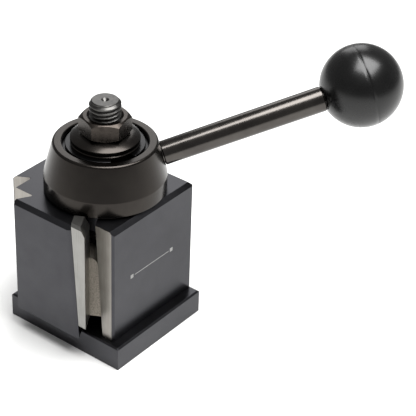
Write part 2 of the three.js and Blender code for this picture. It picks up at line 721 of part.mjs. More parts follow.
const nutCorner = nutAcrossFlats / 2 / Math.cos(radians(30));
const nutBevel = (nutCorner - nutAcrossFlats / 2 * 0.94) * Math.tan(radians(30));
const hexagon = new THREE.CylinderGeometry(nutCorner, nutCorner, nutHeight, 6)
  .rotateX(Math.PI / 2)
  .rotateZ(radians(nutFlatAt))
  .translate(0, 0, (nutFoot + nutTop) / 2);
const nutTurning = solid(turned([
  [studRadius + slidingGap, nutFoot],
  [nutCorner, nutFoot],
  [nutCorner, nutTop - nutBevel],
  [nutAcrossFlats / 2 * 0.94, nutTop],
  [studRadius + slidingGap, nutTop],
]));
addPiece('clamp_nut', solid(hexagon).intersect(nutTurning), blackOxide());

export default post;
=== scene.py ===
"""Quick change tool post of the wedge type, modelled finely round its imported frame.

Lengths in this file are millimetres, named for what they measure; MM turns them into Blender's metres.
"""

import json
import logging
import math
from collections.abc import Callable, Iterable
from dataclasses import dataclass
from enum import Enum

import bpy
from mathutils import Matrix, Vector


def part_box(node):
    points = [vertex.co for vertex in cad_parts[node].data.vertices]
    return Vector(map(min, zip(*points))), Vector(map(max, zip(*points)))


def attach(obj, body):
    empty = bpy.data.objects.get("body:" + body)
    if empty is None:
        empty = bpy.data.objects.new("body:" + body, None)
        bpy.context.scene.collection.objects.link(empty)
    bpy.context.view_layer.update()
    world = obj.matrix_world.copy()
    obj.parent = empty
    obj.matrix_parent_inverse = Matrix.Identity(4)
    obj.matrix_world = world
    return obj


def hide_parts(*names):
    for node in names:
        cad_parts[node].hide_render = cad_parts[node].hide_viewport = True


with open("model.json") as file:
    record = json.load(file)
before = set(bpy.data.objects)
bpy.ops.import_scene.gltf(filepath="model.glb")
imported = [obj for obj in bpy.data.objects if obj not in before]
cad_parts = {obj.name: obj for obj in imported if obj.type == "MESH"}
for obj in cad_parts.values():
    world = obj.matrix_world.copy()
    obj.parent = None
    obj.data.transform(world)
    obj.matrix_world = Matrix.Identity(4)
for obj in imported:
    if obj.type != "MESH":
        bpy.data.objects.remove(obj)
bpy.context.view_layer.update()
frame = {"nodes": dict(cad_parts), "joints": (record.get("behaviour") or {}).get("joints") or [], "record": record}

MM = 0.001

logging.basicConfig(level=logging.INFO, format="%(message)s")
log = logging.getLogger("tool_post")

Profile = list[tuple[float, float]]
Stops = tuple[tuple[float, str], ...]
Object = bpy.types.Object
Material = bpy.types.Material
Tree = bpy.types.NodeTree
Socket = bpy.types.NodeSocket

LEVER_GAP = 0.3                    # millimetres, between the lever's shoulders and what they face
SAME_PLACE = 1e-6                  # metres; points closer than this count as one place
MERGE = 1e-7                       # metres; doubles closer than this are merged
FLAT_WITHIN = math.radians(0.6)    # facets that turn by less than this are one flat face
WAVE_SCALE = math.pi / 20          # turns bands per unit of length into the wave texture's own scale


# ------------------------------------------------------------------ where things are


def node_box(node: str) -> tuple[Vector, Vector]:
    """Lowest and highest corner of a CAD node, in millimetres."""
    low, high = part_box(node)
    return low / MM, high / MM


def heights(node: str) -> tuple[float, float]:
    """Foot and top of a CAD node, in millimetres."""
    low, high = node_box(node)
    return low.z, high.z


def radius_of(node: str) -> float:
    """Largest radius of a round CAD node that stands on the Z axis, in millimetres."""
    return node_box(node)[1].x


def joint(name: str) -> dict:
    """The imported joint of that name."""
    return next(j for j in frame["joints"] if j["name"] == name)


def reach_along(node: str, start: Vector, way: Vector) -> tuple[float, float]:
    """Nearest and furthest distance of a CAD node's points along a line.

    Args:
        node: The CAD node's name.
        start: A point on the line, in millimetres.
        way: The line's unit direction.

    Returns:
        The two distances from start, in millimetres.
    """
    mesh = frame["nodes"][node].data
    distances = [(v.co / MM - start).dot(way) for v in mesh.vertices]
    return min(distances), max(distances)


class Side(Enum):
    """The two dovetail sides: u runs along the face to the gib, v straight out of it."""

    TURNING = ("turning", Vector((1, 0, 0)), Vector((0, -1, 0)))
    FACING = ("facing", Vector((0, 1, 0)), Vector((-1, 0, 0)))

    def __init__(self, label: str, along: Vector, outward: Vector) -> None:
        """Keeps the side's name and its two directions."""
        self.label = label
        self.along = along
        self.outward = outward

    @property
    def gib_node(self) -> str:
        """Name of this side's gib."""
        return f"{self.label}_gib"

    @property
    def face(self) -> float:
        """Distance of the dovetail's outer face from the stud's axis."""
        low = node_box("body_block")[0]
        return -low.y if self is Side.TURNING else -low.x


# ------------------------------------------------------------------ bench: modelling by operators


class Bench:
    """The modelling operations that the sub-assemblies share."""

    @staticmethod
    def clear() -> None:
        """Leaves edit mode and deselects everything."""
        if bpy.context.object and bpy.context.object.mode != "OBJECT":
            bpy.ops.object.mode_set(mode="OBJECT")
        bpy.ops.object.select_all(action="DESELECT")

    @staticmethod
    def only(obj: Object) -> Object:
        """Makes obj the one selected, active object and returns it."""
        Bench.clear()
        obj.select_set(True)
        bpy.context.view_layer.objects.active = obj
        return obj

    @staticmethod
    def fresh(name: str) -> Object:
        """Names the object that an operator has just added, and returns it."""
        obj = bpy.context.object
        obj.name = name
        obj.data.name = name
        return obj

    @staticmethod
    def turn(name: str, profile: Profile, segments: int = 96) -> Object:
        """Turns a body about Z: a circle is extruded and scaled from point to point of its profile.

        Args:
            name: The new object's name.
            profile: Points as (radius, height). A radius of 0 at an end closes that end on the axis;
                with none, the last ring is joined to the first.
            segments: Facets round the body.

        Returns:
            The new object.
        """
        points = list(profile)
        from_axis = points[0][0] == 0
        if from_axis:
            points = points[1:]
            tip = profile[0][1]
        Bench.clear()
        first_r, first_z = points[0]
        bpy.ops.mesh.primitive_circle_add(
            vertices=segments, radius=first_r * MM, location=(0, 0, first_z * MM), fill_type="NOTHING"
        )
        obj = Bench.fresh(name)
        bpy.ops.object.transform_apply(location=True, rotation=False, scale=False)
        bpy.ops.object.mode_set(mode="EDIT")
        bpy.ops.mesh.select_mode(type="EDGE")
        bpy.ops.mesh.select_all(action="SELECT")
        if from_axis:
            bpy.ops.mesh.extrude_region_move(
                TRANSFORM_OT_translate={"value": (0, 0, (tip - first_z) * MM)}
            )
            bpy.ops.mesh.merge(type="CENTER")
            Bench.select_ring(obj, first_r, first_z, keep=False)
        closes_on_axis = points[-1][0] == 0
        here_r, here_z = points[0]
        for r, z in points[1:]:
            bpy.ops.mesh.extrude_region_move(TRANSFORM_OT_translate={"value": (0, 0, (z - here_z) * MM)})
            if r == 0:
                bpy.ops.mesh.merge(type="CENTER")
            elif r != here_r:
                bpy.ops.transform.resize(value=(r / here_r, r / here_r, 1))
            here_r, here_z = r, z
        if not from_axis and not closes_on_axis:
            Bench.select_ring(obj, first_r, first_z, keep=True)
            bpy.ops.mesh.bridge_edge_loops()
        Bench.face_outward()
        return obj

    @staticmethod
    def select_ring(obj: Object, radius: float, height: float, keep: bool) -> None:
        """Selects the edges of one ring of the object in edit mode.

        Args:
            obj: The object.
            radius: The ring's radius, in millimetres.
            height: The ring's height, in millimetres.
            keep: Whether the edges already selected stay selected.
        """
        bpy.ops.object.mode_set(mode="OBJECT")
        for edge in obj.data.edges:
            ends = [obj.data.vertices[i].co for i in edge.vertices]
            on_ring = all(
                abs(end.xy.length - radius * MM) < SAME_PLACE and abs(end.z - height * MM) < SAME_PLACE
                for end in ends
            )
            edge.select = on_ring or (keep and edge.select)
        bpy.ops.object.mode_set(mode="EDIT")

    @staticmethod
    def face_outward() -> None:
        """Merges doubles on the object in edit mode, points its faces outward and leaves edit mode."""
        bpy.ops.mesh.select_all(action="SELECT")
        bpy.ops.mesh.remove_doubles(threshold=MERGE)
        bpy.ops.mesh.normals_make_consistent(inside=False)
        bpy.ops.object.mode_set(mode="OBJECT")

    @staticmethod
    def lay(obj: Object, place: Matrix) -> Object:
        """Moves an object by a matrix and applies it to the mesh."""
        Bench.only(obj)
        obj.matrix_world = place @ obj.matrix_world
        bpy.ops.object.transform_apply(location=True, rotation=True, scale=True)
        return obj

    @staticmethod
    def apply_modifiers(obj: Object) -> Object:
        """Applies every modifier of an object, in order."""
        Bench.only(obj)
        for modifier in list(obj.modifiers):
            bpy.ops.object.modifier_apply(modifier=modifier.name)
        return obj

    @staticmethod
    def join_or_cut(obj: Object, tool: Object, how: str) -> Object:
        """Joins, cuts or intersects an object with a tool object, which is then removed."""
        boolean = obj.modifiers.new("boolean", "BOOLEAN")
        boolean.operation = how
        boolean.object = tool
        boolean.solver = "EXACT"
        Bench.apply_modifiers(obj)
        bpy.data.objects.remove(tool)
        return obj

    @staticmethod
    def break_edges(
        obj: Object, width: float, segments: int = 2, angle: float = 30, smooth: float = 32
    ) -> Object:
        """Rounds an object's sharp edges and shades it smooth between them.

        Args:
            obj: The object.
            width: Width of the rounding, in millimetres.
            segments: Facets across the rounding.
            angle: Edges that turn by more than this many degrees are rounded.
            smooth: Faces that meet at less than this many degrees are shaded as one.

        Returns:
            The same object.
        """
        bevel = obj.modifiers.new("bevel", "BEVEL")
        bevel.width = width * MM
        bevel.segments = segments
        bevel.limit_method = "ANGLE"
        bevel.angle_limit = math.radians(angle)
        bevel.harden_normals = False
        bevel.miter_outer = "MITER_ARC"
        Bench.apply_modifiers(obj)
        Bench.smooth(obj, smooth)
        flat = obj.modifiers.new("flat_faces", "WEIGHTED_NORMAL")
        flat.mode = "FACE_AREA"
        flat.keep_sharp = True
        return Bench.apply_modifiers(obj)

    @staticmethod
    def smooth(obj: Object, angle: float = 32) -> Object:
        """Shades an object smooth where its faces meet at less than an angle in degrees."""
        Bench.only(obj)
        bpy.ops.object.shade_smooth_by_angle(angle=math.radians(angle))
        return obj

    @staticmethod
    def copy_of(node: str, name: str) -> Object:
        """A merged copy of a CAD node's mesh, its flat areas made whole faces again."""
        source = frame["nodes"][node]
        obj = bpy.data.objects.new(name, source.data.copy())
        bpy.context.scene.collection.objects.link(obj)
        obj.data.name = name
        obj.data.materials.clear()
        Bench.only(obj)
        bpy.ops.object.mode_set(mode="EDIT")
        bpy.ops.mesh.select_all(action="SELECT")
        bpy.ops.mesh.remove_doubles(threshold=2 * SAME_PLACE)
        bpy.ops.mesh.dissolve_limited(angle_limit=FLAT_WITHIN)
        bpy.ops.object.mode_set(mode="OBJECT")
        return obj

    @staticmethod
    def slice_off(obj: Object, point: Vector, normal: Vector) -> Object:
        """Cuts away what lies on the normal's side of a plane and closes the cut; point in millimetres."""
        Bench.only(obj)
        bpy.ops.object.mode_set(mode="EDIT")
        bpy.ops.mesh.select_all(action="SELECT")
        bpy.ops.mesh.bisect(
            plane_co=point * MM, plane_no=normal, use_fill=True, clear_outer=True, threshold=MERGE
        )
        bpy.ops.object.mode_set(mode="OBJECT")
        return obj

    @staticmethod
    def coat(obj: Object, look: Material) -> None:
        """Gives an object one material all over."""
        Bench.dress(obj, lambda centre, normal: 0, look)

    @staticmethod
    def dress(obj: Object, choose: Callable[[Vector, Vector], int],
              *looks: Material) -> None:
        """Gives an object several materials, chosen face by face.

        Args:
            obj: The object.
            choose: Takes a face's centre in millimetres and its normal, and returns a material's place.
            looks: The materials, in order.
        """
        obj.data.materials.clear()
        for look in looks:
            obj.data.materials.append(look)
        for face in obj.data.polygons:
            face.material_index = choose(face.center / MM, face.normal)

    @staticmethod
    def hand_in(obj: Object, body: str, slot: str, nodes: Iterable[str]) -> None:
        """Makes an object ride on its body and hides the CAD nodes that it stands for."""
        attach(obj, body)
        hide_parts(*nodes)
        log.info("%s: %d faces, on %s", obj.name, len(obj.data.polygons), body)


def arc(centre: tuple[float, float], radius: float, start: float, end: float, steps: int) -> Profile:
    """Points on a circle in a profile's plane.

    Args:
        centre: The circle's centre as (radius, height).
        radius: The circle's radius.
        start: First angle in degrees, from the outward direction towards up.
        end: Last angle in degrees.
        steps: Number of stretches between the first and the last point.

    Returns:
        The points, first and last included.
    """
    angles = [math.radians(start + (end - start) * i / steps) for i in range(steps + 1)]
    return [(centre[0] + radius * math.cos(a), centre[1] + radius * math.sin(a)) for a in angles]


# ------------------------------------------------------------------ finishes


def linear(colour: str) -> tuple[float, float, float, float]:
    """An sRGB hex colour such as "#8a8a8a" as linear red, green, blue and alpha."""
    channels = [int(colour[i:i + 2], 16) / 255 for i in (1, 3, 5)]
    values = [c / 12.92 if c <= 0.04045 else ((c + 0.055) / 1.055) ** 2.4 for c in channels]
    return (values[0], values[1], values[2], 1.0)


def add_node(tree: Tree, kind: str, settings: dict | None = None,
             links: dict | None = None, stops: Stops = ()) -> bpy.types.Node:
    """Adds a shader node with its settings and links.

    Args:
        tree: The material's node tree.
        kind: The node's type name without "ShaderNode".
        settings: Node properties by name, and socket values by socket name or number.
        links: Sockets that feed this node, by socket name or number.
        stops: The (position, hex colour) stops of a colour ramp.

    Returns:
        The new node.
    """
    node = tree.nodes.new("ShaderNode" + kind)
    for key, value in (settings or {}).items():
        if isinstance(key, str) and hasattr(node, key) and key not in node.inputs:
            setattr(node, key, value)
        else:
            node.inputs[key].default_value = value
    for key, socket in (links or {}).items():
        tree.links.new(socket, node.inputs[key])
    for (position, colour), element in zip(stops, node.color_ramp.elements if stops else ()):
        element.position = position
        element.color = linear(colour)
    return node


def noise_of(size: float, detail: float) -> dict:
    """Noise settings for features of a real size in millimetres, with octaves of finer noise on top."""
    return {"Scale": 1 / (size * MM), "Detail": detail, "Roughness": 0.55}


@dataclass(frozen=True)
class Finish:
    """A surface finish: two close colours and a range of roughness over one pattern, and a relief.

    Sizes are real ones in millimetres.
    """

    name: str
    deep: str = "#8a8a88"
    pale: str = "#a4a4a1"
    contrast: tuple[float, float] = (0.3, 0.7)     # pattern values at which the two colours stand
    roughness: tuple[float, float] = (0.26, 0.36)  # where the pattern is lowest and highest
    metallic: float = 1.0
    specular: float = 0.5
    depth: float = 0.004           # of the relief
    strength: float = 0.35         # of the relief's effect on the light

    def make(self) -> Material:
        """Builds the material and returns it."""
        material = bpy.data.materials.new(self.name)
        material.use_nodes = True
        tree = material.node_tree
        tree.nodes.clear()
        value, height = self.pattern(tree, add_node(tree, "TexCoord").outputs["Object"])
        stops = tuple(zip(self.contrast, (self.deep, self.pale)))
        colour = add_node(tree, "ValToRGB", links={0: value}, stops=stops)
        settings = {"Metallic": self.metallic, "Specular IOR Level": self.specular}
        links = {"Base Color": colour.outputs["Color"]}
        smoothest, roughest = self.roughness
        if smoothest == roughest:
            settings["Roughness"] = smoothest
        else:
            spread = add_node(tree, "MapRange", {"To Min": smoothest, "To Max": roughest}, {"Value": value})
            links["Roughness"] = spread.outputs["Result"]
        if self.depth:
            relief = {"Strength": self.strength, "Distance": self.depth * MM}
            links["Normal"] = add_node(tree, "Bump", relief, {"Height": height}).outputs["Normal"]
        shader = add_node(tree, "BsdfPrincipled", settings, links)
        add_node(tree, "OutputMaterial", links={"Surface": shader.outputs["BSDF"]})
        return material

    def pattern(self, tree: Tree, place: Socket) -> tuple[Socket, Socket]:
        """The finish's own pattern.

        Args:
            tree: The material's node tree, which the pattern's nodes are added to.
            place: The piece's own coordinates, in metres.

        Returns:
            The pattern's value from 0 to 1, and the height of the relief.
        """
        raise NotImplementedError


@dataclass(frozen=True)
class BlackOxide(Finish):
    """Black oxide on steel: a thin dark conversion layer, oiled, that keeps the metal's own sheen."""

    mottle: float = 9.0            # size of the bath's soft clouds
    grit: float = 0.22             # size of the machining texture under it

    def pattern(self, tree: Tree, place: Socket) -> tuple[Socket, Socket]:
        """Soft clouds over a fine, even grain."""
        clouds = add_node(tree, "TexNoise", noise_of(self.mottle, 4), {"Vector": place})
        grain = add_node(tree, "TexNoise", noise_of(self.grit, 2), {"Vector": place})
        return clouds.outputs["Fac"], grain.outputs["Fac"]


@dataclass(frozen=True)
class TurnedBlackOxide(Finish):
    """Black oxide over lathe-turned steel: rings of tool marks break the highlights into fine bands."""

    mottle: float = 9.0
    feed: float = 0.16             # spacing of the tool marks
    depth: float = 0.002
    strength: float = 0.25

    def pattern(self, tree: Tree, place: Socket) -> tuple[Socket, Socket]:
        """Soft clouds over tool marks stacked along Z."""
        clouds = add_node(tree, "TexNoise", noise_of(self.mottle, 4), {"Vector": place})
        rings = add_node(
            tree, "TexWave",
            {"wave_type": "BANDS", "bands_direction": "Z", "wave_profile": "SIN",
             "Scale": WAVE_SCALE / (self.feed * MM), "Distortion": 0.6, "Detail": 1.0},
            {"Vector": place},
        )
        return clouds.outputs["Fac"], rings.outputs["Fac"]


@dataclass(frozen=True)
class GroundSteel(Finish):
    """Bare tool steel off the surface grinder: fine straight scratches and a pale warm grey."""

    roughness: tuple[float, float] = (0.24, 0.42)
    strength: float = 0.4
    scratch: float = 0.25          # spacing of the grinding lines, coarser than real so that they show
    drawn_out: float = 0.02        # scale of the lines along the grinding direction, which is Z
    cloud: float = 6.0             # size of the soft changes in shade

    def pattern(self, tree: Tree, place: Socket) -> tuple[Socket, Socket]:
        """Streaks along the grinding direction, over soft clouds."""
        along = add_node(tree, "Mapping", {"Scale": (1, 1, self.drawn_out)}, {"Vector": place})
        lines = {"Vector": along.outputs["Vector"]}
        streaks = add_node(tree, "TexNoise", noise_of(self.scratch, 3), lines).outputs["Fac"]
        clouds = add_node(tree, "TexNoise", noise_of(self.cloud, 3), {"Vector": place}).outputs["Fac"]
        weak = add_node(tree, "MapRange", {"To Min": 0, "To Max": 0.4}, {"Value": clouds}).outputs["Result"]
        both = add_node(tree, "Math", {"operation": "MULTIPLY_ADD", 1: 0.6}, {0: streaks, 2: weak})
        return both.outputs["Value"], streaks


@dataclass(frozen=True)
class Grained(Finish):
    """A finish with one grain in colour, roughness and height."""

    grain: float = 0.2
    detail: float = 2

    def pattern(self, tree: Tree, place: Socket) -> tuple[Socket, Socket]:
        """One noise for everything."""
        grain = add_node(tree, "TexNoise", noise_of(self.grain, self.detail), {"Vector": place})
        return grain.outputs["Fac"], grain.outputs["Fac"]


@dataclass(frozen=True)
class Phenolic(Finish):
    """Moulded phenolic resin, polished: deep black with a soft gloss and faint handling marks."""

    deep: str = "#020202"
    pale: str = "#050505"
    roughness: tuple[float, float] = (0.22, 0.32)
    metallic: float = 0.0
    specular: float = 0.45
    depth: float = 0.01
    strength: float = 0.2
    haze: float = 5.0              # size of the handling marks
    orange_peel: float = 1.4       # size of the moulded skin's faint waves

    def pattern(self, tree: Tree, place: Socket) -> tuple[Socket, Socket]:
        """Haze over the moulded skin's waves."""
        haze = add_node(tree, "TexNoise", noise_of(self.haze, 4), {"Vector": place})
        waves = add_node(tree, "TexNoise", noise_of(self.orange_peel, 2), {"Vector": place})
        return haze.outputs["Fac"], waves.outputs["Fac"]


class Looks:
    """Every material of the post, made once."""

    def __init__(self) -> None:
        """Makes the materials."""
        # Milled and blackened: an even, satin blue-black.
        self.block_oxide = BlackOxide(
            "black_oxide_on_milled_steel", deep="#3d3d40", pale="#434346").make()
        # Turned and blackened: warmer and a little shinier than the milled faces.
        self.turned_oxide = TurnedBlackOxide(
            "black_oxide_on_turned_steel", deep="#322f2d", pale="#383532", roughness=(0.2, 0.3)).make()
        # Drawn bar, blackened: smooth enough for long, sharp streaks of light.
        self.lever_oxide = BlackOxide(
            "black_oxide_on_drawn_bar", deep="#454240", pale="#53504d", roughness=(0.14, 0.24)).make()
        # Blackened nuts and screws: browner and uneven.
        self.fastener_oxide = BlackOxide(
            "black_oxide_on_fasteners", deep="#322e2b", pale="#423d39", roughness=(0.23, 0.33),
            mottle=1.8).make()
        # The stud's crests and end have lost some of their black.
        self.stud_oxide = BlackOxide(
            "worn_oxide_on_stud", deep="#454443", pale="#5a5957", mottle=1.2).make()
        self.ground = GroundSteel("ground_tool_steel", deep="#8a8681", pale="#a19d97").make()
        self.gib_ground = GroundSteel("ground_gib_steel", deep="#82817d", pale="#989794").make()
        # Investment-cast steel left rough: a grainy, brownish skin with a dull sheen.
        self.cast = Grained(
            "as_cast_steel", deep="#6e685f", pale="#9b948a", contrast=(0.35, 0.65), roughness=(0.45, 0.7),
            metallic=0.85, depth=0.04, strength=0.7, grain=0.45, detail=5).make()
        # Hardened and oiled strip: nearly black, with a dull gleam.
        self.spring = BlackOxide(
            "oiled_spring_steel", deep="#262627", pale="#323233", roughness=(0.24, 0.34)).make()
        # Free-cutting brass, turned: warm yellow metal, slightly tarnished.
        self.brass = Grained(
            "turned_brass", deep="#8f6a2c", pale="#c79a4b", roughness=(0.22, 0.4), depth=0, grain=2.5,
            detail=3).make()
        self.phenolic = Phenolic("polished_phenolic").make()
        # Annealed by a laser: a matt pale grey on the black.
        self.mark = Grained("laser_mark", roughness=(0.7, 0.7), metallic=0, depth=0).make()


# ------------------------------------------------------------------ block, base plate and screws


@dataclass
class BlockAssembly:
    """The dovetailed block, the plate under it and the four screws between them."""

    looks: Looks
    edge: float = 0.12             # rounding left by deburring
    flank_angle: float = 30        # dovetail flank, from straight out of the face
    shoulder_match: float = 0.99   # how closely a ground face faces as the shoulder does; 1 is exactly
    shoulder_band: float = 0.3     # how far it may lie from the shoulder's plane
    flank_match: float = 0.97
    root_relief: float = 1.0       # the step at the flank's foot, at most this deep
    screw_count: int = 4
    screw_shank: float = 4 / 7     # the shank's radius, as a share of the head's
    screw_head: float = 8 / 7      # the head's height, as a share of its radius
    screw_edge: float = 0.4        # chamfers of a screw
    key_depth: float = 2.0
    rule_length: float = 20.0      # the maker's rule: its bar, the squares at its ends and the mark's skin
    rule_bar: float = 0.3
    rule_square: float = 1.6
    rule_skin: float = 0.02

    def build(self) -> None:
        """Makes the block, the plate, the screws and the mark."""
        self.block()
        self.plate()
        for number in range(self.screw_count):
            self.screw(f"base_screw_{number + 1}")
        self.mark()

    def is_ground(self, centre: Vector, normal: Vector) -> int:
        """Tells the block's bare ground faces, which are the shoulders and the fixed flanks.

        Args:
            centre: A face's centre, in millimetres.
            normal: The face's normal.

        Returns:
            1 on a ground face and 0 elsewhere.
        """
        for side in Side:
            v = centre.dot(side.outward)
            u = centre.dot(side.along)
            shoulder = side.face - self.reach()
            if normal.dot(side.outward) > self.shoulder_match and abs(v - shoulder) < self.shoulder_band:
                return 1
            angle = math.radians(self.flank_angle)
            flank = -side.along * math.cos(angle) - side.outward * math.sin(angle)
            if normal.dot(flank) > self.flank_match and v > shoulder - self.root_relief and u < 0:
                return 1
        return 0

    @staticmethod
    def reach() -> float:
        """How far the dovetails stand out of their shoulders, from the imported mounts."""
        mounts = {m["name"]: m["pos_m"] for m in frame["record"]["mounts"]}
        return abs(mounts["turning_dovetail_face"][1] - mounts["turning_shoulder"][1]) / MM

    def block(self) -> None:
        """The block: the CAD shape with deburred edges, black but for its ground faces."""
        obj = Bench.copy_of("body_block", "dovetailed_block")
        Bench.break_edges(obj, self.edge)
        Bench.dress(obj, self.is_ground, self.looks.block_oxide, self.looks.ground)
        Bench.hand_in(obj, "root", "black_oxide_steel", ["body_block"])

    def plate(self) -> None:
        """The base plate, with deburred edges."""
        obj = Bench.copy_of("base_plate", "base_plate_fine")
        Bench.break_edges(obj, self.edge)
        Bench.coat(obj, self.looks.block_oxide)
        Bench.hand_in(obj, "root", "black_oxide_steel", ["base_plate"])

    def screw(self, node: str) -> None:
        """A socket head cap screw, head down in the plate's underside."""
        low, high = node_box(node)
        foot, top = low.z, high.z
        middle = (low + high) / 2
        head = (high.x - low.x) / 2
        shank = head * self.screw_shank
        head_top = foot + head * self.screw_head
        edge = self.screw_edge
        obj = Bench.turn(node + "_fine", [
            (0, foot), (head - edge, foot), (head, foot + edge), (head, head_top),
            (shank, head_top), (shank, top - edge), (shank - edge, top), (0, top),
        ], 48)
        Bench.clear()
        bpy.ops.mesh.primitive_cylinder_add(
            vertices=6, radius=head / 2 * MM, depth=2 * self.key_depth * MM, location=(0, 0, foot * MM))
        Bench.join_or_cut(obj, Bench.fresh("hex_key"), "DIFFERENCE")
        Bench.lay(obj, Matrix.Translation((middle.x * MM, middle.y * MM, 0)))
        Bench.smooth(obj)
        Bench.coat(obj, self.looks.fastener_oxide)
        Bench.hand_in(obj, "root", "black_oxide_steel", [node])

    def mark(self) -> None:
        """A plain maker's rule on the right face: one thin bar with a small square at each end."""
        low, high = node_box("body_block")
        half, square = self.rule_length / 2, self.rule_square
        end = half + square
        pieces = [(0, 2 * half, self.rule_bar), (-end, square, square), (end, square, square)]
        Bench.clear()
        parts = []
        for offset, wide, tall in pieces:
            bpy.ops.mesh.primitive_cube_add(size=1)
            part = Bench.fresh("mark_part")
            part.scale = (2 * self.rule_skin * MM, wide * MM, tall * MM)
            part.location = (high.x * MM, offset * MM, (low.z + high.z) / 2 * MM)
            bpy.ops.object.transform_apply(location=True, rotation=False, scale=True)
            parts.append(part)
        Bench.clear()
        for part in parts:
            part.select_set(True)
        bpy.context.view_layer.objects.active = parts[0]
        bpy.ops.object.join()
        obj = Bench.fresh("maker_rule")
        Bench.coat(obj, self.looks.mark)
        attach(obj, "root")
        log.info("%s: a generic mark in place of lettering", obj.name)


# ------------------------------------------------------------------ gibs


@dataclass
class Gib:
    """A wedge gib: a ground bar whose flank locks the holder, and a rough tang with the half nut."""

    looks: Looks
    side: Side
    edge: float = 0.3              # rounding of the bar and the tang
    back: float = 25.9             # distance of the bar's back from the stud's axis, along the slot
    flank_angle: float = 30        # the slot's lean out of the face's own direction
    top_chamfer: float = 1.0       # across the bar's outer top edge

    def build(self) -> None:
        """The CAD shape with a chamfered top and softened edges."""
        node = self.side.gib_node
        obj = Bench.copy_of(node, node + "_fine")
        low, high = node_box(node)
        corner = self.side.outward * self.side.face + Vector((0, 0, high.z - self.top_chamfer))
        Bench.slice_off(obj, corner, (self.side.outward + Vector((0, 0, 1))).normalized())
        Bench.break_edges(obj, self.edge, 3)
        Bench.dress(obj, self.is_tang, self.looks.gib_ground, self.looks.cast)
        Bench.hand_in(obj, node, "gib_steel", [node])

    def is_tang(self, centre: Vector, normal: Vector) -> int:
        """1 on the tang, which is left as cast, and 0 on the bar."""
        angle = math.radians(self.flank_angle)
        slot_way = self.side.along * math.sin(angle) + self.side.outward * math.cos(angle)
        return int(centre.dot(slot_way) < self.back + self.edge / 2)


# ------------------------------------------------------------------ hub: collar, ring, sleeve


@dataclass
class HubAssembly:
    """The conical collar that carries the lever, and the sleeve, ring and washers inside it."""

    looks: Looks
    skirt_height: float = 6.2
    top_radius: float = 19.9
    top_round: float = 1.1
    skirt_round: float = 0.35
    counterbore: float = 16.2
    counterbore_depth: float = 3.6
    neck: float = 15.3
    sleeve_radius: float = 13.0
    sleeve_bore: float = 6.6
    sleeve_edge: float = 0.3
    seat_gap: float = 0.1          # between faces that rest on each other
    groove_depth: float = 1.0
    mouth_round: float = 0.5       # at the counterbore's rim
    washer_gap: float = 0.2        # radial, between the sleeve and a washer
    spot_face: float = 5.1         # radius of the flat cut in the cone for the lever's shoulder

    def build(self) -> None:
        """Makes the collar, the sleeve, the ring and the washers."""
        self.collar()
        self.sleeve()
        self.ring()
        self.washer("upper_thrust_washer")
        self.washer("lower_thrust_washer")

    def collar(self) -> None:
        """The collar: a short skirt, a long cone, a rounded rim and a counterbore."""
        foot, top = heights("collar")
        skirt = radius_of("collar")
        shoulder = foot + self.skirt_height
        slope = math.atan2(skirt - self.top_radius, top - shoulder)
        rim = (self.top_radius - self.top_round, top - self.top_round)
        mouth = self.mouth_round
        profile = [
            (self.neck, foot), (skirt - self.skirt_round, foot),
            *arc((skirt - self.skirt_round, foot + self.skirt_round), self.skirt_round, -60, 0, 2),
            (skirt, shoulder - 0.25), (skirt - 0.06, shoulder + 0.2),
            *arc(rim, self.top_round, math.degrees(slope), 90, 6),
            (self.counterbore + mouth, top),
            *arc((self.counterbore + mouth, top - mouth), mouth, 120, 180, 2),
            (self.counterbore, top - self.counterbore_depth), (self.neck, top - self.counterbore_depth),
        ]
        obj = Bench.turn("collar_fine", profile, 160)
        lever = Lever.axis()
        spot_floor = reach_along("lever_rod", lever.start, lever.way)[0] + Lever.stub_length - LEVER_GAP
        cutter_length = 20
        Bench.clear()
        bpy.ops.mesh.primitive_cylinder_add(
            vertices=64, radius=self.spot_face * MM, depth=cutter_length * MM,
            location=(0, 0, (spot_floor + cutter_length / 2) * MM))
        cutter = Bench.lay(Bench.fresh("spot_face"), lever.frame())
        Bench.join_or_cut(obj, cutter, "DIFFERENCE")
        Bench.break_edges(obj, 0.18, 2, 40, 35)
        Bench.coat(obj, self.looks.turned_oxide)
        Bench.hand_in(obj, "swing", "black_oxide_steel", ["collar"])

    def sleeve(self) -> None:
        """The fixed sleeve, flanged at its foot and grooved for the ring at its top."""
        foot, top = heights("center_sleeve")
        flange = radius_of("center_sleeve")
        ring_foot, ring_top = heights("retaining_ring")
        flange_top = heights("lower_thrust_washer")[0] - self.seat_gap
        groove_foot, groove_top = ring_foot - self.seat_gap, ring_top + self.seat_gap
        outside, bore, edge = self.sleeve_radius, self.sleeve_bore, self.sleeve_edge
        groove = outside - self.groove_depth
        obj = Bench.turn("center_sleeve_fine", [
            (bore, foot), (flange - edge, foot), (flange, foot + edge), (flange, flange_top),
            (outside, flange_top), (outside, groove_foot), (groove, groove_foot),
            (groove, groove_top), (outside, groove_top), (outside, top - edge), (outside - edge, top),
            (bore + 0.4, top), (bore, top - 0.4),
        ], 128)
        Bench.smooth(obj)
        Bench.coat(obj, self.looks.turned_oxide)
        Bench.hand_in(obj, "root", "black_oxide_steel", ["center_sleeve"])

    def ring(self) -> None:
        """The open retaining ring, softened at its edges."""
        obj = Bench.copy_of("retaining_ring", "retaining_ring_fine")
        Bench.break_edges(obj, 0.18, 2, 30, 40)
        Bench.coat(obj, self.looks.spring)
        Bench.hand_in(obj, "root", "spring_steel", ["retaining_ring"])

    def washer(self, node: str) -> None:
        """A flat hardened thrust washer, which stays with the sleeve."""
        foot, top = heights(node)
        outer = radius_of(node)
        inner = self.sleeve_radius + self.washer_gap
        obj = Bench.turn(node + "_fine", [(inner, foot), (outer, foot), (outer, top), (inner, top)], 128)
        Bench.break_edges(obj, 0.12)
        Bench.coat(obj, self.looks.spring)
        Bench.hand_in(obj, "root", "spring_steel", [node])


